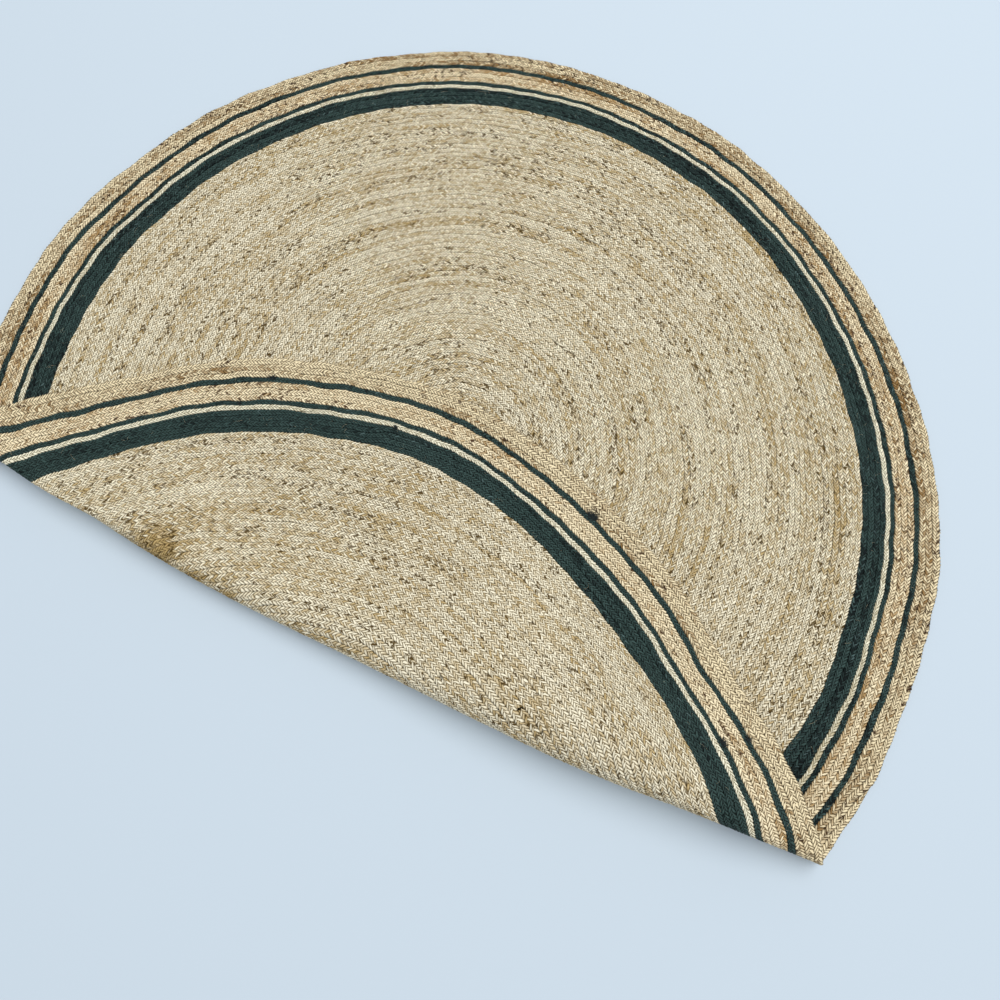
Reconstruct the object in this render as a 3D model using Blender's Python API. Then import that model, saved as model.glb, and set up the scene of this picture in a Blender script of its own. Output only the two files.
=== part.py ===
"""Round rug of braided jute, lying on a floor with one side folded over on itself.

The rug is one flat mat, sewn up from braid that is coiled from the centre outwards. Each
colour of braid makes a ring of its own, so the mat is a round field and six rings round it.
The cut mat is 2.135 m across and 10 mm thick. Along its front it turns up in a soft, uneven
roll and comes back down on itself, underside up. Front is -Y and the roll runs along X.
The origin is on the floor, at the middle of the folded rug.
"""

import math

import bmesh
import bpy
import numpy as np

# The mat, in metres.
THICKNESS = 0.010
SEAM_GAP = 0.0003
CENTRE_X = 0.0060
CENTRE_Y = -0.2950

# Each ring of braid, from the centre outwards.
# name, rows of braid, width of a row, material
RINGS = (
    ("field", 74, 0.0122, "natural_jute"),
    ("green_band", 4, 0.0122, "green_jute"),
    ("white_row", 1, 0.0110, "bleached_jute"),
    ("inner_green_row", 1, 0.0105, "green_jute"),
    ("inner_natural_band", 3, 0.0131, "golden_jute"),
    ("outer_green_row", 1, 0.0120, "green_jute"),
    ("outer_natural_band", 3, 0.0144, "golden_jute"),
)

# name, base colour, roughness
MATERIALS = (
    ("natural_jute", (0.56, 0.44, 0.27), 0.85),
    ("golden_jute", (0.46, 0.32, 0.17), 0.85),
    ("green_jute", (0.018, 0.040, 0.042), 0.80),
    ("bleached_jute", (0.70, 0.66, 0.52), 0.85),
)

# The fold, station by station along the roll.
# along: place along the roll, from the centre of the mat
# lift: distance from the centre of the mat to where it leaves the floor
# loop: length of mat in the roll
# descent: slope of the flap behind the roll, in degrees
# tuck: how far the roll is pushed in at its nose
FOLD_COLUMNS = ("along", "lift", "loop", "descent", "tuck")
FOLD_STATIONS = (
    (-1.00, 0.313, 0.183, 27.0, -0.040),
    (-0.75, 0.398, 0.140, 11.0, 0.044),
    (-0.50, 0.360, 0.198, 16.0, -0.003),
    (-0.25, 0.374, 0.184, 23.0, -0.008),
    (0.00, 0.350, 0.220, 23.0, -0.010),
    (0.25, 0.309, 0.307, 11.0, -0.004),
    (0.50, 0.259, 0.393, 39.0, -0.014),
    (0.75, 0.302, 0.325, 20.0, 0.026),
    (1.00, 0.369, 0.126, 11.0, 0.005),
)
BLEND_LENGTH = 0.09
LOOP_BIAS = 1.385
LAYER_GAP = 0.002
EASE_HEIGHT = 0.012
WALK_STEP = 0.005
WALK_LENGTH = 0.80

# How far the outline swells out of round, by bearing from +X.
# bearing in degrees, swell
SWELL = (
    (-60.0, 0.000),
    (-10.0, -0.008),
    (0.0, -0.007),
    (10.0, 0.004),
    (20.0, 0.005),
    (30.0, 0.002),
    (45.0, -0.003),
    (60.0, -0.003),
    (75.0, 0.000),
    (90.0, -0.002),
    (105.0, 0.002),
    (120.0, 0.001),
    (135.0, -0.003),
    (150.0, -0.002),
    (165.0, 0.000),
    (175.0, 0.009),
    (187.0, 0.001),
    (240.0, 0.000),
)
SWELL_POWER = 3

# Lines the flat mat is cut along, so that it can bend: close together in the roll, wider
# apart in the flap. Each row is the first line, the last line and the step between them.
SIDES = 60
ROLL_LINES = (0.250, 0.666, 0.016)
FLAP_LINES = (0.730, 1.050, 0.064)
CROSS_LINES = (-1.000, 1.000, 0.100)
SNAP = 0.00002


def fold_column(name, along):
    """Column of the fold table at places along the roll, eased over BLEND_LENGTH."""
    stations = [row[0] for row in FOLD_STATIONS]
    values = [row[FOLD_COLUMNS.index(name)] for row in FOLD_STATIONS]
    offsets = np.linspace(-BLEND_LENGTH, BLEND_LENGTH, 5)
    return np.mean([np.interp(along + offset, stations, values) for offset in offsets], axis=0)


def swollen(flat):
    """Moves places on a true circle out to the mat's own slightly uneven outline."""
    radius = np.hypot(flat[:, 0], flat[:, 1])
    bearing = np.degrees(np.arctan2(flat[:, 1], flat[:, 0]))
    bearing = np.where(bearing < SWELL[0][0], bearing + 360.0, bearing)
    bearings = [row[0] for row in SWELL]
    swells = [row[1] for row in SWELL]
    rim = sum(rows * width for _, rows, width, _ in RINGS)
    swell = np.interp(bearing, bearings, swells) * (radius / rim) ** SWELL_POWER
    scale = 1.0 + swell / np.maximum(radius, THICKNESS)
    return flat * scale[:, None]


def folded(flat, height):
    """Where places on the flat mat lie once it is folded.

    The section is walked from where the mat leaves the floor. Over the length of the roll
    its slope turns from level, up and over, to the slope of the flap. Behind the roll the
    flap runs down and levels out as it comes to rest on the mat below.
    """
    along = flat[:, 0]
    out = -flat[:, 1]
    lift = fold_column("lift", along)
    loop = fold_column("loop", along)
    descent = np.radians(fold_column("descent", along))
    tuck = fold_column("tuck", along)
    beyond = np.maximum(out - lift, 0.0)
    reach = np.minimum(out, lift)
    rise = np.zeros(len(flat))

    def slope(walked):
        share = np.minimum(walked / loop, 1.0) ** LOOP_BIAS
        rolling = (math.pi + descent) * (share - np.sin(2 * math.pi * share) / (2 * math.pi))
        ease = np.clip((rise - THICKNESS - LAYER_GAP) / EASE_HEIGHT, 0.0, 1.0)
        return np.where(walked < loop, rolling, math.pi + descent * ease)

    for walked in np.arange(0.0, WALK_LENGTH, WALK_STEP):
        part = np.clip(beyond - walked, 0.0, WALK_STEP)
        angle = slope(walked + part / 2)
        reach = reach + np.cos(angle) * part
        rise = rise + np.sin(angle) * part

    angle = slope(beyond)
    reach = reach - tuck * np.sin(np.minimum(angle, math.pi)) ** 2
    across = height - THICKNESS / 2
    y = CENTRE_Y - (reach - across * np.sin(angle))
    z = THICKNESS / 2 + rise + across * np.cos(angle)
    return np.column_stack((CENTRE_X + along, y, z))


def lines(first, last, step):
    """Evenly spaced places from the first to the last."""
    return np.linspace(first, last, round((last - first) / step) + 1)


def cut_pattern(inner, outer):
    """Flat ring, or disc where the inner radius is nothing, cut along the fold's lines."""
    pattern = bmesh.new()
    bearings = [2 * math.pi * side / SIDES for side in range(SIDES)]
    rim = [pattern.verts.new((outer * math.cos(a), outer * math.sin(a), 0)) for a in bearings]
    if inner > 0:
        eye = [pattern.verts.new((inner * math.cos(a), inner * math.sin(a), 0)) for a in bearings]
        for i in range(SIDES):
            j = (i + 1) % SIDES
            pattern.faces.new((eye[i], rim[i], rim[j], eye[j]))
    else:
        pattern.faces.new(rim)

    for distance in (*lines(*ROLL_LINES), *lines(*FLAP_LINES)):
        everything = pattern.verts[:] + pattern.edges[:] + pattern.faces[:]
        bmesh.ops.bisect_plane(
            pattern, geom=everything, dist=SNAP, plane_co=(0, -distance, 0), plane_no=(0, 1, 0)
        )
    for place in lines(*CROSS_LINES):
        bending = [f for f in pattern.faces if f.calc_center_median().y < -ROLL_LINES[0]]
        edges = list({e for f in bending for e in f.edges})
        corners = list({v for f in bending for v in f.verts})
        bmesh.ops.bisect_plane(
            pattern,
            geom=corners + edges + bending,
            dist=SNAP,
            plane_co=(place, 0, 0),
            plane_no=(1, 0, 0),
        )
    bmesh.ops.triangulate(pattern, faces=pattern.faces[:])
    return pattern


def ring_mesh(name, inner, outer):
    """Closed mesh of a ring of the mat, folded: underside, top and the walls between them."""
    pattern = cut_pattern(inner, outer)
    pattern.verts.index_update()
    flat = swollen(np.array([v.co[:2] for v in pattern.verts]))
    count = len(flat)
    places = np.vstack((folded(flat, 0.0), folded(flat, THICKNESS)))
    faces = []
    for face in pattern.faces:
        corners = [v.index for v in face.verts]
        if face.normal.z < 0:
            corners.reverse()
        faces.append([i + count for i in corners])
        faces.append(corners[::-1])
    for edge in pattern.edges:
        if len(edge.link_faces) == 1:
            a, b = (v.index for v in edge.verts)
            if flat[a, 0] * flat[b, 1] < flat[a, 1] * flat[b, 0]:
                a, b = b, a
            faces.append((a, b, b + count))
            faces.append((a, b + count, a + count))
    pattern.free()

    mesh = bpy.data.meshes.new(name)
    mesh.from_pydata(places.tolist(), [], faces)
    solid = bmesh.new()
    solid.from_mesh(mesh)
    bmesh.ops.recalc_face_normals(solid, faces=solid.faces[:])
    solid.to_mesh(mesh)
    solid.free()
    return mesh


def make_material(name, colour, roughness):
    """Plain Principled material."""
    material = bpy.data.materials.new(name)
    material.use_nodes = True
    shader = material.node_tree.nodes["Principled BSDF"]
    shader.inputs["Base Color"].default_value = (*colour, 1.0)
    shader.inputs["Roughness"].default_value = roughness
    shader.inputs["Metallic"].default_value = 0.0
    return material


for existing in list(bpy.data.objects):
    bpy.data.objects.remove(existing, do_unlink=True)

rug = bpy.data.collections.new("braided_rug")
bpy.context.scene.collection.children.link(rug)
materials = {name: make_material(name, colour, roughness) for name, colour, roughness in MATERIALS}

edge_radius = 0.0
for ring_name, rows, row_width, material_name in RINGS:
    inner_radius = edge_radius + SEAM_GAP if edge_radius > 0 else 0.0
    edge_radius += rows * row_width
    mesh = ring_mesh(ring_name, inner_radius, edge_radius)
    mesh.materials.append(materials[material_name])
    rug.objects.link(bpy.data.objects.new(ring_name, mesh))
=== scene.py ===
# A round rug of braided jute, lying on the floor with one side folded back over itself.
# It is one flat three-strand braid, wound in a spiral from the middle and sewn turn to turn.
# The braid changes colour near the rim, where three dark, one bleached and two golden bands
# make the border. Every coil below is made flat and then goes over the same fold.

import math

import bpy
import numpy as np
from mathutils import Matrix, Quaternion, Vector


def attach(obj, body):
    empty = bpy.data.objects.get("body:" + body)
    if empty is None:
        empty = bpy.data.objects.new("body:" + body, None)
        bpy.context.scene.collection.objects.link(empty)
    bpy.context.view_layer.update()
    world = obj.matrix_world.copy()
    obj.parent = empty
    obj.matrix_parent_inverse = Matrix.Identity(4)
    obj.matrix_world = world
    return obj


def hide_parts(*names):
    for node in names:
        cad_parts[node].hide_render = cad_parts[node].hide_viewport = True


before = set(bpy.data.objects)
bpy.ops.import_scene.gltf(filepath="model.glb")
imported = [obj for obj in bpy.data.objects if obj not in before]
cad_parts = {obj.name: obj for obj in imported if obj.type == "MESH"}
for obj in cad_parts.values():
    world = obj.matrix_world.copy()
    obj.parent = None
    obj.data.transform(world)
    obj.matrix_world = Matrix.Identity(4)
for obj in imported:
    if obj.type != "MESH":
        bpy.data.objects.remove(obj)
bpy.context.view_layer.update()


# ---------------------------------------------------------------------------------------------
# The field: 74 turns of natural jute braid, 12 mm wide, from the centre to the border.
# Each turn is sewn to the last with a hidden zigzag thread, so the edges of the braid pull
# together in a groove. It is made in four pieces, from the centre outwards.

MAT_THICKNESS = 0.010
MAT_CENTRE_X = 0.0060
MAT_CENTRE_Y = -0.2950
MAT_RADIUS = 1.0676
FIELD_ROWS = 74
FIELD_ROW_WIDTH = 0.0122
FIELD_JOIN = math.radians(300)

# The turns at which the field's four pieces begin and end.
FIELD_CUTS = (0.55, 37.5, 53.0, 64.5, FIELD_ROWS)

# The fold, station by station along the roll.
# along: place along the roll, from the centre of the mat
# lift: distance from the centre of the mat to where it leaves the floor
# loop: length of mat in the roll
# descent: slope of the flap behind the roll, in degrees
# tuck: how far the roll is pushed in at its nose
FOLD_COLUMNS = ("along", "lift", "loop", "descent", "tuck")
FOLD_STATIONS = np.array((
    (-1.00, 0.313, 0.183, 27.0, -0.040),
    (-0.75, 0.398, 0.140, 11.0, 0.044),
    (-0.50, 0.360, 0.198, 16.0, -0.003),
    (-0.25, 0.374, 0.184, 23.0, -0.008),
    (0.00, 0.350, 0.220, 23.0, -0.010),
    (0.25, 0.309, 0.307, 11.0, -0.004),
    (0.50, 0.259, 0.393, 39.0, -0.014),
    (0.75, 0.302, 0.325, 20.0, 0.026),
    (1.00, 0.369, 0.126, 11.0, 0.005),
))
FOLD_EASE_OFFSETS = np.linspace(-0.09, 0.09, 5)
LOOP_BIAS = 1.385
LAYER_GAP = 0.002
EASE_HEIGHT = 0.012
WALK_STEP = 0.005
WALK_LENGTH = 0.80

# How far the outline swells out of round: bearing in degrees from +X, and swell in metres.
SWELLS = np.array((
    (-60, 0.000), (-10, -0.008), (0, -0.007), (10, 0.004), (20, 0.005), (30, 0.002),
    (45, -0.003), (60, -0.003), (75, 0.000), (90, -0.002), (105, 0.002), (120, 0.001),
    (135, -0.003), (150, -0.002), (165, 0.000), (175, 0.009), (187, 0.001), (240, 0.000),
))
SWELL_POWER = 3

# The braid's section, as shares of half a row's width and of half the thickness: five places
# on the side that shows and one on the side that lies hidden. First where the mat's top shows,
# then where it turns over, then where its underside shows. It is wider than its row, so that
# it sinks into the turns on both sides. A lobe's crest rises from the section, in metres, and
# reaches out of it, in shares of half a row's width. The dip beside it does the opposite.
SECTION_ACROSS = np.array((
    (-1.09, -0.54, 0.0, 0.54, 1.09, 0.0),
    (-1.08, -1.03, 0.0, 1.03, 1.08, 0.0),
    (-0.54, -1.09, 0.0, 1.09, 0.54, 0.0),
))
SECTION_HEIGHT = np.array((
    (0.62, 0.92, 0.78, 0.92, 0.62, -0.84),
    (-0.30, 0.42, 0.84, 0.42, -0.30, -0.84),
    (-0.92, -0.62, 0.84, -0.62, -0.92, -0.78),
))
LOBE_RISE = np.array((
    (0.00030, 0.00060, 0.0, 0.00060, 0.00030, 0.0),
    (-0.00020, 0.00020, 0.0, 0.00020, -0.00020, 0.0),
    (-0.00060, -0.00030, 0.0, -0.00030, -0.00060, 0.0),
))
LOBE_REACH = np.array((
    (-0.07, -0.04, 0.0, 0.04, 0.07, 0.0),
    (-0.04, -0.04, 0.0, 0.04, 0.04, 0.0),
    (-0.04, -0.07, 0.0, 0.07, 0.04, 0.0),
))

# The braid's section turns over while the mat's slope goes from one of these to the other.
TURNING_SLOPES = (0.15, 1.05)

# Nearer the centre than this, hand sewing pulls the mat out of true less and less.
WANDER_RADIUS = 0.05

# How uneven the hand work is: shares of a lobe's rise, of half a plait and of half a row's
# width, and the height and rates, in radians a metre, of the braid's two slow ripples.
SWING_JITTER = 0.5
FORWARD_JITTER = 0.34
REACH_JITTER = 0.10
RIPPLE_HEIGHT = 0.0003
RIPPLE_RATES = (9.1, 23.7)

# Darker, browner places on the roll: place on the flat mat, and how far they spread.
DARK_PATCHES = ((-0.445, -0.500, 0.035), (-0.360, -0.475, 0.020), (-0.285, -0.470, 0.024))

# Plaits are 7.4 mm long and slant forward by a little more than that from the middle of the
# braid to its edge, less near the centre of the coil. The last turns of the field are evened
# out to round rows, and a step from row to row takes a small share of a turn. A cut end is
# narrowed to a small share of the braid's width, and thins by a power of its share.
PLAIT_PITCH = 0.0074
PLAIT_SLANT = 1.10
SLANT_RADIUS = 0.10
EVENING_ROWS = 16.0
STEP_SHARE = 0.012
CUT_END_SHARE = 0.04
CUT_END_POWER = 0.4

# Under the flap, where nothing shows, only every fourth station of a braid is made.
HIDDEN_STEP = 4
HIDDEN_PAST_EDGE = 0.04
HIDDEN_BEFORE_LIFT = 0.02
HIDDEN_HALF_WIDTH = 0.86


def fold_column(name, along):
    """A column of the fold table at places along the roll: the mean of five readings round
    each place, which eases the corners between stations."""
    values = FOLD_STATIONS[:, FOLD_COLUMNS.index(name)]
    readings = [np.interp(along + o, FOLD_STATIONS[:, 0], values) for o in FOLD_EASE_OFFSETS]
    return np.mean(readings, axis=0)


def rolled(along, out):
    """Reach from the mat's centre, rise and slope of the section, for places beyond the lift.

    The section is walked in short straight steps. Over the length of the roll its slope turns
    from level, up and over, to the slope of the flap: a straight line in share of the loop,
    less a sine, so that it starts and ends without a kink. Behind the roll the flap runs down
    and levels out as it comes to rest.
    """
    lift = fold_column("lift", along)
    loop = fold_column("loop", along)
    descent = np.radians(fold_column("descent", along))
    beyond = np.maximum(out - lift, 0.0)
    reach = np.minimum(out, lift)
    rise = np.zeros(len(along))

    def slope(walked):
        """Slope at a length walked past the lift, given the rise reached so far."""
        share = np.minimum(walked / loop, 1.0) ** LOOP_BIAS
        rolling = (math.pi + descent) * (share - np.sin(2 * math.pi * share) / (2 * math.pi))
        ease = np.clip((rise - MAT_THICKNESS - LAYER_GAP) / EASE_HEIGHT, 0.0, 1.0)
        return np.where(walked < loop, rolling, math.pi + descent * ease)

    for walked in np.arange(0.0, WALK_LENGTH, WALK_STEP):
        part = np.clip(beyond - walked, 0.0, WALK_STEP)
        angle = slope(walked + part / 2)
        reach = reach + np.cos(angle) * part
        rise = rise + np.sin(angle) * part
    angle = slope(beyond)
    reach = reach - fold_column("tuck", along) * np.sin(np.minimum(angle, math.pi)) ** 2
    return reach, rise, angle


def wandered(flat):
    """The flat mat pulled slightly out of true by hand sewing. Every place is pushed out from
    the centre by slow waves of 1.1, 0.8 and 1.9 mm, the last one in patches. They are the same
    for every turn, so that the turns stay side by side."""
    x, y = flat[:, 0], flat[:, 1]
    push = 0.0011 * np.sin(17.0 * x + 9.0 * y) + 0.0008 * np.sin(31.0 * y - 23.0 * x + 1.3)
    push = push + 0.0019 * np.sin(59.0 * x - 37.0 * y + 0.4) * np.sin(31.0 * x + 47.0 * y)
    share = push / np.maximum(np.hypot(x, y), WANDER_RADIUS)
    return flat * (1.0 + share)[:, None]


def folded(flat, height):
    """Places on the flat mat, at a height above its underside, once the mat is folded.

    The outline's swell grows with the cube of the radius. A place keeps its distance along
    the roll; its section comes from rolled(), and its height stands square to the section.
    """
    radius = np.hypot(flat[:, 0], flat[:, 1])
    bearing = np.degrees(np.arctan2(flat[:, 1], flat[:, 0]))
    bearing = np.where(bearing < SWELLS[0, 0], bearing + 360.0, bearing)
    swell = np.interp(bearing, SWELLS[:, 0], SWELLS[:, 1])
    swell = swell * (radius / MAT_RADIUS) ** SWELL_POWER
    flat = flat * (1.0 + swell / np.maximum(radius, MAT_THICKNESS))[:, None]

    along, reach = flat[:, 0], -flat[:, 1]
    rise, angle = np.zeros(len(flat)), np.zeros(len(flat))
    bent = reach > fold_column("lift", along)
    reach[bent], rise[bent], angle[bent] = rolled(along[bent], reach[bent])
    across = height - MAT_THICKNESS / 2
    y = MAT_CENTRE_Y - (reach - across * np.sin(angle))
    z = MAT_THICKNESS / 2 + rise + across * np.cos(angle)
    return np.column_stack((MAT_CENTRE_X + along, y, z))


bearing = np.radians(np.linspace(182, 358, 400))
flap_rim = MAT_RADIUS * np.column_stack((np.cos(bearing), np.sin(bearing)))
flap_edge = folded(flap_rim, np.zeros(len(flap_rim)))
flap_edge = flap_edge[np.argsort(flap_edge[:, 0])]


def under_flap(flat):
    """Which places on the flat lower layer lie well under the flap, out of sight."""
    x = flat[:, 0] + MAT_CENTRE_X
    y = flat[:, 1] + MAT_CENTRE_Y
    edge = np.interp(x, flap_edge[:, 0], flap_edge[:, 1])
    lying = -flat[:, 1] < fold_column("lift", flat[:, 0]) - HIDDEN_BEFORE_LIFT
    return lying & (y < edge - HIDDEN_PAST_EDGE) & (np.abs(x) < HIDDEN_HALF_WIDTH)


def mesh_piece(name, places, faces, material, **attributes):
    """A smooth mesh object from arrays of corner places and faces, with values per corner."""
    mesh = bpy.data.meshes.new(name)
    sides = faces.shape[1]
    mesh.vertices.add(len(places))
    mesh.vertices.foreach_set("co", places.astype(np.float32).ravel())
    mesh.loops.add(faces.size)
    mesh.loops.foreach_set("vertex_index", faces.astype(np.int32).ravel())
    mesh.polygons.add(len(faces))
    mesh.polygons.foreach_set("loop_start", np.arange(0, faces.size, sides, dtype=np.int32))
    mesh.polygons.foreach_set("use_smooth", np.ones(len(faces), dtype=bool))
    mesh.update(calc_edges=True)
    for key, values in attributes.items():
        layer = mesh.attributes.new(key, "FLOAT_VECTOR", "POINT")
        layer.data.foreach_set("vector", values.astype(np.float32).ravel())
    mesh.materials.append(material)
    piece = bpy.data.objects.new(name, mesh)
    bpy.context.scene.collection.objects.link(piece)
    return piece


def tube_faces(stations, sides):
    """Quads of a tube with its stations in order, closed by quads across both ends."""
    ring = np.arange(sides)
    first = np.arange(stations - 1)[:, None] * sides
    a, b = first + ring, first + (ring + 1) % sides
    walls = np.stack((a, b, b + sides, a + sides), axis=2).reshape(-1, 4)
    last = (stations - 1) * sides
    caps = np.array(((0, 5, 4, 3), (0, 3, 2, 1), (0, 1, 2, 3), (0, 3, 4, 5)))
    return np.vstack((walls, caps + [[0], [0], [last], [last]]))


def row_radius(turn, inner, row_width, last_row, straight_from):
    """Radius of the braid's middle after a number of turns.

    Up to straight_from the braid is a plain spiral: the radius grows evenly. Near the border
    the maker evens the spiral out to round rows: the braid keeps its radius for most of a turn
    and then steps out by one row. The two are mixed by a share that grows slowly from 0 to 1.
    """
    row = np.clip(np.floor(turn), 0, last_row - 1)
    share = turn - row
    even = np.clip((turn - straight_from) / EVENING_ROWS, 0.0, 1.0)
    even = even * even * (3 - 2 * even)
    step = np.clip((share - 1) / STEP_SHARE + 1, 0.0, 1.0)
    step = np.where(row < last_row - 1, step * step * (3 - 2 * step), 0.0)
    return inner + row_width * (row + (1 - even) * share + even * (0.5 + step))


def wound_braid(
    name, material, inner, row_width, first_row, last_row, rows, straight_from, join, turned_paleness=0.0
):
    """A coil of braid between two turns of its spiral, folded with the mat.

    The length walked to each turn is summed along a fine table of row_radius(), and read back
    for stations half a plait apart. The places of a station run forward from the middle of the
    braid to its edges, which is the slant of the strands. At each station the left or the right
    side stands higher and wider in turn, so every second station is the crest of a lobe on one
    side and the dip between two lobes on the other. Each place is a little out, as in work
    done by hand, and the whole braid ripples slowly up and down. The cut ends of the braid are
    narrowed, each against its own side of the row, so that they pass one another. Where the mat
    turns over, the section passes from its first shape through its second to its third, and
    the braid is made paler by a given share. Under the flap only every fourth station is kept.
    Lengths count from the start of the ring, so that a coil's plaits run on from the coil before,
    and are a metre longer than that, so that none is below nothing.
    """
    turns = np.arange(first_row - 0.01, last_row + 0.02, 0.001)
    radii = row_radius(turns, inner, row_width, rows, straight_from)
    lengths = np.cumsum(np.append(0.0, (radii[1:] + radii[:-1]) * math.pi * np.diff(turns)))
    lengths = lengths + math.pi * (2 * inner * first_row + row_width * first_row**2) + 1.0
    half_plait = PLAIT_PITCH / 2
    cut_low, cut_high = np.interp((first_row, last_row), turns, lengths)
    number = np.arange(math.ceil(cut_low / half_plait), int(cut_high / half_plait) + 2)

    def spread(walked):
        """Turn, radius and direction from the centre, for lengths walked."""
        turn = np.interp(walked, lengths, turns)
        radius = row_radius(turn, inner, row_width, rows, straight_from)
        bearing = join + 2 * math.pi * turn
        return turn, radius, np.stack((np.cos(bearing), np.sin(bearing)), axis=-1)

    turn, radius, outward = spread(number * half_plait)
    middle = wandered(outward * radius[:, None])
    hidden = under_flap(middle)
    kept = ~hidden | (number % HIDDEN_STEP == 0)
    kept[[0, -1]] = True
    number, radius, middle, hidden = number[kept], radius[kept], middle[kept], hidden[kept]
    slope = np.zeros(len(number))
    bent = -middle[:, 1] > fold_column("lift", middle[:, 0])
    slope[bent] = rolled(middle[bent, 0], -middle[bent, 1])[2]
    turned = np.interp(slope, TURNING_SLOPES, (0.0, 1.0))[:, None]
    first, third = np.maximum(1 - 2 * turned, 0), np.maximum(2 * turned - 1, 0)
    shapes = np.hstack((first, 1 - first - third, third))
    across = shapes @ SECTION_ACROSS

    rng = np.random.default_rng(rows + len(number))
    swing = np.where(number % 2 == 0, -1.0, 1.0)[:, None] * np.sign(across)
    uneven = 1 + SWING_JITTER * rng.standard_normal(swing.shape)
    swing = np.where(hidden[:, None], 0.0, swing * uneven)

    slant = np.minimum(radius / SLANT_RADIUS, 1.0)[:, None]
    forward = PLAIT_SLANT * PLAIT_PITCH * np.abs(across) * slant
    uneven = half_plait * FORWARD_JITTER * rng.standard_normal(across.shape)
    forward = forward + uneven * (np.abs(across) > 0)
    turn, radius, outward = spread(number[:, None] * half_plait + forward)

    ending = np.clip((rows - turn) / STEP_SHARE, 0.0, 1.0)
    starting = np.clip(turn / STEP_SHARE + 1.0, 0.0, 1.0) if inner > 0 else np.ones_like(turn)
    share = np.maximum(starting * ending, CUT_END_SHARE)
    radius = radius + (ending - starting) * -0.5 * row_width * (share < 1)
    reach = across + shapes @ LOBE_REACH * swing
    reach = reach + REACH_JITTER * rng.standard_normal(reach.shape) * (np.abs(across) < 1)
    radius = radius + reach * share * row_width / 2

    slow, quick = (number * half_plait * rate for rate in RIPPLE_RATES)
    ripple = RIPPLE_HEIGHT * (np.sin(slow) + np.sin(quick + 1.0))[:, None]
    height = shapes @ SECTION_HEIGHT * share**CUT_END_POWER * MAT_THICKNESS / 2
    height = MAT_THICKNESS / 2 + height + shapes @ LOBE_RISE * swing * share + ripple
    flat = wandered((outward * radius[:, :, None]).reshape(-1, 2))
    places = folded(flat, np.maximum(height, 0).ravel())

    # Darker, browner patches on the roll, and paler braid where the mat turns over.
    darkening = sum(
        np.exp(-((middle[:, 0] - x) ** 2 + (middle[:, 1] - y) ** 2) / size**2)
        for x, y, size in DARK_PATCHES
    )
    darkening = darkening[:, None] - turned_paleness * turned
    plait = np.stack(np.broadcast_arrays(number[:, None] / 2, across, darkening), axis=2)
    faces = tube_faces(*across.shape)
    return mesh_piece(name, places, faces, material, plait=plait.reshape(-1, 3))


class Wire:
    """A value in a material's nodes. Sums on it add Math nodes, and node() any other node."""

    def __init__(self, tree, socket=None):
        self.tree = tree
        self.socket = socket

    def node(self, kind, settings=None, sockets=None, output=0):
        """A new node's output. Its settings come first, then the values or links it takes in."""
        made = self.tree.nodes.new("ShaderNode" + kind)
        for key, value in (settings or {}).items():
            setattr(made, key, value)
        for key, value in (sockets or {}).items():
            if isinstance(value, Wire):
                self.tree.links.new(value.socket, made.inputs[key])
            else:
                made.inputs[key].default_value = value
        return Wire(self.tree, made.outputs[output])

    def maths(self, operation, *values):
        """The result of a Math node's operation on the values given."""
        return self.node("Math", {"operation": operation}, dict(enumerate(values)))

    def __add__(self, other):
        return self.maths("ADD", self, other)

    def __sub__(self, other):
        return self.maths("SUBTRACT", self, other)

    def __rsub__(self, other):
        return self.maths("SUBTRACT", other, self)

    def __mul__(self, other):
        return self.maths("MULTIPLY", self, other)

    __radd__ = __add__
    __rmul__ = __mul__

    def between(self, low, high):
        """0 below low, 1 above high, and a smooth step from one to the other."""
        ends = {"Value": self, "From Min": low, "From Max": high}
        return self.node("MapRange", {"interpolation_type": "SMOOTHSTEP"}, ends)

    def blend(self, first, second):
        """The first colour where this value is 0, the second where it is 1."""
        pair = {0: self, 6: first, 7: second}
        return self.node("Mix", {"data_type": "RGBA"}, pair, output=2)

    def noise(self, x, y, z, detail=2.0, rough=0.5):
        """Noise at a place given by three values, 0 to 1, with features about 1 long."""
        place = self.node("CombineXYZ", None, {0: x, 1: y, 2: z})
        sockets = {"Vector": place, "Scale": 1.0, "Detail": detail, "Roughness": rough}
        return self.node("TexNoise", None, sockets)

    def chance(self, number):
        """One random value, 0 to 1, for each number."""
        return self.node("TexWhiteNoise", {"noise_dimensions": "1D"}, {"W": number})


# How a plait looks. Lengths along the braid are in plaits, and places across it in half widths
# of its row. The line between the left and the right lobes swings off the middle, a lobe is low
# by the middle, and the dip between two rows goes from the first place to the second.
MIDDLE_SWING = 0.22
MIDDLE_WIDTH = 0.35
MIDDLE_LOBE = 0.25
ROW_DIP = (0.70, 1.10)

# What makes a lobe's tone: the slow streaks of its strand and of its row, its fibres, its own
# chance, and the tone where these are all at their middle.
STREAK_WEIGHT = 1.45
FIBRE_WEIGHT = 1.4
LOBE_WEIGHT = 0.70
MIDDLE_TONE = 0.30

# A lobe is flecked where its chance, with what a patch and a darker place on the roll add to it,
# is past the limit: with bark in most braids, and with spots of painted sheen in the dark green
# one.
PATCH_WEIGHT = 0.38
DARK_PATCH_WEIGHT = 0.45
BARK_AND_SHEEN_LIMIT = 1.01

# Painted shade: the dips between lobes are darkened, and more so by the edges of the row, in the
# groove between rows. The shade's colour is shares of the deep colour.
DIP_SHADE_DEPTH = 0.92
EDGE_SHADE_DEPTH = 0.45
DIP_SHADE_COLOUR_SHARES = (0.25, 0.23, 0.16)

# The relief of the fibres and of the row's edges, against a lobe's own, and its height in metres.
FIBRE_RELIEF = 0.35
EDGE_RELIEF = 0.15
RELIEF_STRENGTH = 0.8
RELIEF_HEIGHT = 0.0012
JUTE_SPECULAR = 0.15


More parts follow.
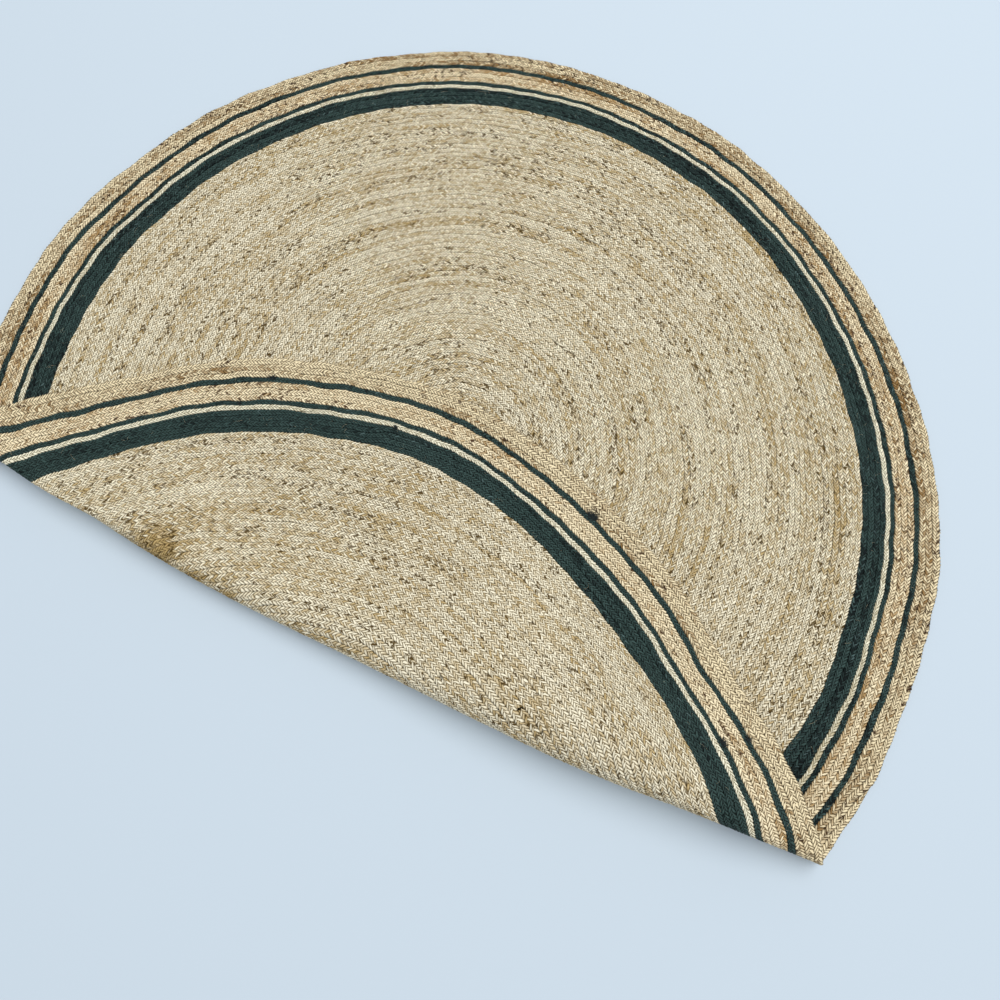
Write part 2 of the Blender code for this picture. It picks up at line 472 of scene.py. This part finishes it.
def braided_jute(name, pale, deep, bark_and_sheen_fleck, bark_and_sheen_flecking, roughness, seed, streak=1.0):
    """Material of a three-strand plait of jute.

    The braid's own attribute gives plaits walked, place across the row and darkening. Left lobes
    have their crests at whole numbers and right ones half way between, and the line between the
    two sides swings from one to the other. A lobe is round across its strand. Its tone is its
    strand's, which changes over some 30 plaits of the row, the row's, over some 100, and a little
    of its own; fibres follow the strand, and some lobes are flecked: with bark in most braids,
    and with spots of painted sheen in the dark green one. The dips between lobes and between rows
    are darkened with painted shade.
    """
    material = bpy.data.materials.new(name)
    material.use_nodes = True
    tree = material.node_tree
    shader = tree.nodes["Principled BSDF"]
    start = Wire(tree)
    plait = start.node("Attribute", {"attribute_name": "plait"}, output="Vector")
    walked = start.node("SeparateXYZ", None, {0: plait})
    across = Wire(tree, walked.socket.node.outputs[1])
    darkening = Wire(tree, walked.socket.node.outputs[2])

    swing = start.maths("COSINE", walked * (2 * math.pi)) * MIDDLE_SWING
    right = start.maths("GREATER_THAN", across, swing)
    number = start.maths("FLOOR", walked + 0.5 - right * 0.5) + right * 0.5
    share = (walked - number) * 2.0
    lobe = start.maths("MAXIMUM", 1.0 - share * share, 0.0)
    off_middle = start.maths("ABSOLUTE", across - swing).between(0.0, MIDDLE_WIDTH)
    lobe = lobe * (MIDDLE_LOBE + off_middle * (1 - MIDDLE_LOBE))
    edge = start.maths("ABSOLUTE", across).between(*ROW_DIP)

    strand = start.maths("FLOORED_MODULO", number * 2.0, 3.0)
    tone = start.noise(walked * 0.032, strand * 19.7 + seed, 0.0, 3.0, 0.62)
    row_tone = start.noise(walked * 0.010, seed + 3.1, 7.7, 4.0, 0.6)
    own = start.chance(number + seed)
    fibre = start.noise(walked * 10.0, across * 1.2, number * 3.0, 2.0)
    streak_weight = STREAK_WEIGHT * streak
    tone = (tone - 0.5) * streak_weight + (row_tone - 0.5) * streak_weight
    tone = tone + (fibre - 0.5) * FIBRE_WEIGHT + (own - 0.5) * LOBE_WEIGHT + darkening + MIDDLE_TONE
    colour = tone.between(0.0, 1.0).blend((*pale, 1.0), (*deep, 1.0))

    patch = start.noise(walked * 0.030 + 40.0, seed + 4.4, 4.4, 4.0, 0.6)
    # Past the limit a lobe takes the second colour: bark in most braids, painted sheen in the
    # dark green.
    bark = start.chance(number * 1.7 + seed + 9.0) - BARK_AND_SHEEN_LIMIT
    bark = bark + patch.between(0.42, 0.70) * PATCH_WEIGHT + darkening * DARK_PATCH_WEIGHT
    bits = start.noise(walked * 2.2 + 5.0, across * 1.6, number + seed, 1.0)
    bark_and_sheen_flecks = bark.between(0.0, 0.05) * bits.between(0.44, 0.54) * bark_and_sheen_flecking
    colour = bark_and_sheen_flecks.blend(colour, (*bark_and_sheen_fleck, 1.0))

    # Painted shade in the dips between lobes and in the grooves between rows.
    painted_dip_shade = (1.0 - lobe.between(0.05, 1.0)) * DIP_SHADE_DEPTH + edge * EDGE_SHADE_DEPTH
    painted_dip_shade = start.maths("MINIMUM", painted_dip_shade, DIP_SHADE_DEPTH)
    dip_shade_colour = [value * share for value, share in zip(deep, DIP_SHADE_COLOUR_SHARES)]
    colour = painted_dip_shade.blend(colour, (*dip_shade_colour, 1.0))
    tree.links.new(colour.socket, shader.inputs["Base Color"])

    relief = lobe + fibre * FIBRE_RELIEF - edge * EDGE_RELIEF
    bump = {"Height": relief, "Strength": RELIEF_STRENGTH, "Distance": RELIEF_HEIGHT}
    tree.links.new(start.node("Bump", None, bump).socket, shader.inputs["Normal"])
    shader.inputs["Roughness"].default_value = roughness
    shader.inputs["Specular IOR Level"].default_value = JUTE_SPECULAR
    return material


natural_braid = braided_jute(
    "natural_braid", pale=(0.985, 0.905, 0.70), deep=(0.52, 0.37, 0.16),
    bark_and_sheen_fleck=(0.078, 0.045, 0.011), bark_and_sheen_flecking=1.0, roughness=0.85, seed=0.0,
)
for number, (first_row, last_row) in enumerate(zip(FIELD_CUTS, FIELD_CUTS[1:]), 1):
    coil = wound_braid(
        f"field_coil_{number}", natural_braid, 0.0, FIELD_ROW_WIDTH, first_row, last_row,
        FIELD_ROWS, FIELD_ROWS - EVENING_ROWS, FIELD_JOIN,
    )
    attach(coil, "root")
    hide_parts("field")
    if number == 1:
        radius = last_row * FIELD_ROW_WIDTH
        2 * radius
        2 * radius
        math.pi * radius**2
    else:
        mean_round = math.pi * (first_row + last_row) * FIELD_ROW_WIDTH

# ---------------------------------------------------------------------------------------------
# The border, from the field out: four turns of dark green braid, one bleached, one dark green,
# three golden, one dark green, and three golden at the rim. Same make as the field; the dyed
# and bleached braids are a little narrower, the golden ones wider and more flecked.

# The dark green braid's flecked spots are pale teal-grey: painted sheen.
green_braid = braided_jute(
    "green_braid", pale=(0.042, 0.078, 0.072), deep=(0.003, 0.008, 0.009),
    bark_and_sheen_fleck=(0.12, 0.19, 0.19), bark_and_sheen_flecking=0.5, roughness=0.75, seed=31.0, streak=1.5,
)
bleached_braid = braided_jute(
    "bleached_braid", pale=(0.98, 0.93, 0.73), deep=(0.60, 0.52, 0.34),
    bark_and_sheen_fleck=(0.20, 0.13, 0.07), bark_and_sheen_flecking=0.6, roughness=0.85, seed=57.0,
)
golden_braid = braided_jute(
    "golden_braid", pale=(1.0, 0.86, 0.59), deep=(0.46, 0.285, 0.118),
    bark_and_sheen_fleck=(0.07, 0.035, 0.02), bark_and_sheen_flecking=1.0, roughness=0.85, seed=83.0, streak=1.45,
)
rim_braid = braided_jute(
    "rim_braid", pale=(0.94, 0.80, 0.53), deep=(0.29, 0.165, 0.058),
    bark_and_sheen_fleck=(0.05, 0.026, 0.015), bark_and_sheen_flecking=1.0, roughness=0.85, seed=107.0, streak=1.6,
)
# node, rows of braid, width of a row, bearing of the join, material, slot, and how much paler
# the braid is made underneath
BORDER = (
    ("green_band", 4, 0.0122, 262, green_braid, "green_jute", 0.30),
    ("white_row", 1, 0.0110, 253, bleached_braid, "bleached_jute", 0.10),
    ("inner_green_row", 1, 0.0105, 241, green_braid, "green_jute", 0.30),
    ("inner_natural_band", 3, 0.0131, 232, golden_braid, "golden_jute", 0.18),
    ("outer_green_row", 1, 0.0120, 245, green_braid, "green_jute", 0.30),
    ("outer_natural_band", 3, 0.0144, 346, rim_braid, "golden_jute", 0.18),
)
inner = FIELD_ROWS * FIELD_ROW_WIDTH
for node, rows, row_width, join, material, slot, turned_paleness in BORDER:
    coil = wound_braid(
        f"{node}_coil", material, inner, row_width, -STEP_SHARE, rows,
        rows, -EVENING_ROWS, math.radians(join), turned_paleness,
    )
    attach(coil, "root")
    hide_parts(node)
    width = rows * row_width
    mean_round = 2 * math.pi * (inner + width / 2)
    inner += width

# ---------------------------------------------------------------------------------------------
# Loose fibres. Jute sheds ends of fibre all over: most are pale, a few are dark bark. They lie
# over the braid or stand a few millimetres off it, and some stick out along the rim. Where one
# length of dark braid is joined to the next, its cut end stands out as a small tuft.

FIBRE_PARTS = 6
FIBRE_SIDES = 3
FIBRE_TAPER = 0.8

# A fibre starts this far inside the braid, and lies at this share of the mat's half thickness.
FIBRE_ROOT = 0.0007
FIBRE_SEAT = 0.96
FLOOR_CLEARANCE = 0.0003

# Past the lift by this much, the mat has turned over and its underside shows.
TURNED_PAST_LIFT = 0.05

# How much a fibre curls over its length, in radians, and a cut end.
FIBRE_CURL = 1.1
CUT_END_CURL = 0.8


def loose_fibres(name, material, start, heading, curl, length, thick, rise):
    """Thin tubes that lie on the side of the mat that shows, one for each row of the arrays.

    A fibre starts inside the braid, runs along its heading, which turns evenly by its curl,
    and rises by a mix of an arch and a square, so that some lie down again and some stand off.
    It thins out towards its end.
    """
    step = np.linspace(0, 1, FIBRE_PARTS + 1)
    bearing = heading[:, None] + curl[:, None] * step
    walk = np.stack((np.cos(bearing), np.sin(bearing)), axis=2)
    walk = walk * (length / FIBRE_PARTS)[:, None, None]
    flat = start[:, None, :] + np.cumsum(walk, axis=1) - walk
    arch = np.linspace(0, 1, len(start))[:, None]
    lift = rise[:, None] * (arch * np.sin(math.pi * step) + (1 - arch) * step**2)
    lift = lift - FIBRE_ROOT * (1 - step)
    turned = -flat[:, 0, 1] > fold_column("lift", flat[:, 0, 0]) + TURNED_PAST_LIFT
    way = np.where(turned, -1.0, 1.0)[:, None]
    height = MAT_THICKNESS / 2 + way * (FIBRE_SEAT * MAT_THICKNESS / 2 + lift)

    def laid(height):
        """Places of the fibre's parts on the folded mat, kept off the floor."""
        places = folded(wandered(flat.reshape(-1, 2)), height.ravel()).reshape(*height.shape, 3)
        places[:, :, 2] = np.maximum(places[:, :, 2], FLOOR_CLEARANCE)
        return places

    # Off the mat is the way a fibre moves when it is raised by 1 mm. A hair of straight up keeps
    # it from being nothing where the floor stops it.
    middle = laid(height)
    off = laid(height + 0.001 * way) - middle + (0, 0, 1e-6)
    side = np.cross(np.gradient(middle, axis=1), off)
    side /= np.linalg.norm(side, axis=2)[:, :, None]
    off /= np.linalg.norm(off, axis=2)[:, :, None]
    radius = thick[:, None] / 2 * (1 - FIBRE_TAPER * step)
    angle = 2 * math.pi * np.arange(FIBRE_SIDES) / FIBRE_SIDES
    ring = off[:, :, None] * np.cos(angle)[:, None] + side[:, :, None] * np.sin(angle)[:, None]
    places = middle[:, :, None] + ring * radius[:, :, None, None]

    corner = np.arange(FIBRE_SIDES)
    part = np.arange(FIBRE_PARTS)[:, None] * FIBRE_SIDES
    a, b = part + corner, part + (corner + 1) % FIBRE_SIDES
    c, d = b + FIBRE_SIDES, a + FIBRE_SIDES
    walls = np.stack((a, b, c, a, c, d), axis=2).reshape(-1, 3)
    last = FIBRE_PARTS * FIBRE_SIDES
    one = np.vstack((walls, ((0, 2, 1), (last, last + 1, last + 2))))
    first = np.arange(len(start))[:, None, None] * (last + FIBRE_SIDES)
    return mesh_piece(name, places.reshape(-1, 3), (one + first).reshape(-1, 3), material)


def fibre_material(name, colour):
    """Dull material of fibres, which are too thin to show a pattern of their own."""
    material = bpy.data.materials.new(name)
    material.use_nodes = True
    shader = material.node_tree.nodes["Principled BSDF"]
    shader.inputs["Base Color"].default_value = (*colour, 1.0)
    shader.inputs["Roughness"].default_value = 0.7
    return material


pale_fibre = fibre_material("pale_fibre", (0.72, 0.62, 0.42))
bark_fibre = fibre_material("bark_fibre", (0.060, 0.034, 0.018))
green_fibre = fibre_material("green_fibre", (0.008, 0.018, 0.020))

# name, material, slot, how many, least and greatest radius, most that they head off outward,
# and the greatest length, thickness and rise
FIBRES = (
    ("pale_fibres", pale_fibre, "natural_jute", 2400, 0.03, 1.066, 3.14, 0.022, 0.00045, 0.0030),
    ("rim_fibres", pale_fibre, "natural_jute", 500, 1.052, 1.068, 0.9, 0.013, 0.00040, 0.0010),
    ("bark_fibres", bark_fibre, "golden_jute", 260, 0.05, 1.060, 3.14, 0.016, 0.00060, 0.0020),
)
for seed, (name, material, slot, count, nearest, farthest, turn, *most) in enumerate(FIBRES, 20):
    rng = np.random.default_rng(seed)
    longest, thickest, highest = most
    radius = np.sqrt(rng.uniform(nearest**2, farthest**2, count))
    bearing = rng.uniform(0, 2 * math.pi, count)
    start = np.column_stack((np.cos(bearing), np.sin(bearing))) * radius[:, None]
    seen = ~under_flap(start)
    start, bearing = start[seen], bearing[seen]
    count = len(start)
    heading = bearing + rng.uniform(-turn, turn, count)
    curl = rng.normal(0, FIBRE_CURL, count)
    length = longest * rng.uniform(0.3, 1.0, count) ** 1.5
    thick = thickest * rng.uniform(0.5, 1.0, count)
    rise = highest * rng.uniform(0.2, 1.0, count)
    fibres = loose_fibres(name, material, start, heading, curl, length, thick, rise)
    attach(fibres, "root")

# bearing in degrees, distance from the centre, length of the cut ends, and how many
TUFTS = np.array((
    (245, 1.0205, 0.013, 60), (289, 1.0215, 0.020, 150), (318, 1.0190, 0.012, 50),
    (255, 1.0200, 0.006, 26), (257, 1.0200, 0.006, 26), (268, 1.0200, 0.006, 26),
    (241, 0.9660, 0.008, 36), (317, 0.9680, 0.013, 60), (253, 0.9660, 0.007, 26),
    (262, 0.9500, 0.010, 40),
))
CUT_END_THICKNESS = 0.0011

# How far the ends of a tuft lie apart: along the row, in radians for each metre of its length,
# across the row in metres, and in heading.
TUFT_SPREAD = 0.22
TUFT_SCATTER = 0.0022
TUFT_FAN = 1.2

rng = np.random.default_rng(7)
tufts = np.repeat(TUFTS, TUFTS[:, 3].astype(int), axis=0)
count = len(tufts)
longest = tufts[:, 2]
bearing = np.radians(tufts[:, 0]) + TUFT_SPREAD * longest * rng.normal(0, 1, count)
radius = tufts[:, 1] + rng.normal(0, TUFT_SCATTER, count)
start = np.column_stack((np.cos(bearing), np.sin(bearing))) * radius[:, None]
heading = bearing + rng.uniform(-TUFT_FAN, TUFT_FAN, count)
curl = rng.normal(0, CUT_END_CURL, count)
length = longest * rng.uniform(0.4, 1.0, count)
thick = np.full(count, CUT_END_THICKNESS)
rise = rng.uniform(0.001, 0.004, count)
ends = loose_fibres("cut_ends", green_fibre, start, heading, curl, length, thick, rise)
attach(ends, "root")

# ---------------------------------------------------------------------------------------------
# The floor, the light and the camera. A plain pale floor; one large soft light behind and above
# the rug, so that the roll shades the floor in front of it, and pale light all round.

FLOOR_SIZE = 14.0
FLOOR_COLOUR = (0.575, 0.66, 0.745)
floor_material = bpy.data.materials.new("floor")
floor_material.use_nodes = True
floor_shader = floor_material.node_tree.nodes["Principled BSDF"]
floor_shader.inputs["Base Color"].default_value = (*FLOOR_COLOUR, 1.0)
floor_shader.inputs["Roughness"].default_value = 0.55
floor_shader.inputs["Specular IOR Level"].default_value = 0.05
corners = np.array(((-1, -1, 0), (1, -1, 0), (1, 1, 0), (-1, 1, 0))) * FLOOR_SIZE / 2
floor = mesh_piece("floor", corners, np.array(((0, 1, 2, 3),)), floor_material)

LIGHT_PLACE = Vector((1.6, 3.8, 12.0))
LIGHT_AIM = Vector((0.0, -0.2, 0.0))
LIGHT_SIZE = 12.0
LIGHT_POWER = 1490
LIGHT_COLOUR = (0.98, 0.98, 0.965)
lamp = bpy.data.lights.new("soft_light", "AREA")
lamp.shape = "DISK"
lamp.size = LIGHT_SIZE
lamp.energy = LIGHT_POWER
lamp.color = LIGHT_COLOUR
light = bpy.data.objects.new("soft_light", lamp)
light.location = LIGHT_PLACE
light.rotation_mode = "QUATERNION"
light.rotation_quaternion = (LIGHT_AIM - LIGHT_PLACE).to_track_quat("-Z", "Y")
bpy.context.scene.collection.objects.link(light)

ROOM_COLOUR = (0.93, 0.97, 1.0)
ROOM_STRENGTH = 0.45
world = bpy.data.worlds.new("studio")
bpy.context.scene.world = world
world.use_nodes = True
background = world.node_tree.nodes["Background"]
background.inputs["Color"].default_value = (*ROOM_COLOUR, 1.0)
background.inputs["Strength"].default_value = ROOM_STRENGTH
bpy.context.scene.view_settings.view_transform = "Standard"

CAMERA_PLACE = Vector((0.148, -0.583, 1.520))
CAMERA_AIM = Vector((-0.003, -0.127, 0.0))
CAMERA_ROLL = math.radians(6.5)
CAMERA_LENS = 25.1
CAMERA_SHIFT = (0.018, -0.12)
lens = bpy.data.cameras.new("camera")
lens.sensor_width = 36.0
lens.lens = CAMERA_LENS
lens.shift_x, lens.shift_y = CAMERA_SHIFT
camera = bpy.data.objects.new("camera", lens)
camera.location = CAMERA_PLACE
camera.rotation_mode = "QUATERNION"
level = (CAMERA_AIM - CAMERA_PLACE).to_track_quat("-Z", "Y")
camera.rotation_quaternion = level @ Quaternion((0, 0, 1), CAMERA_ROLL)
bpy.context.scene.collection.objects.link(camera)
bpy.context.scene.camera = camera
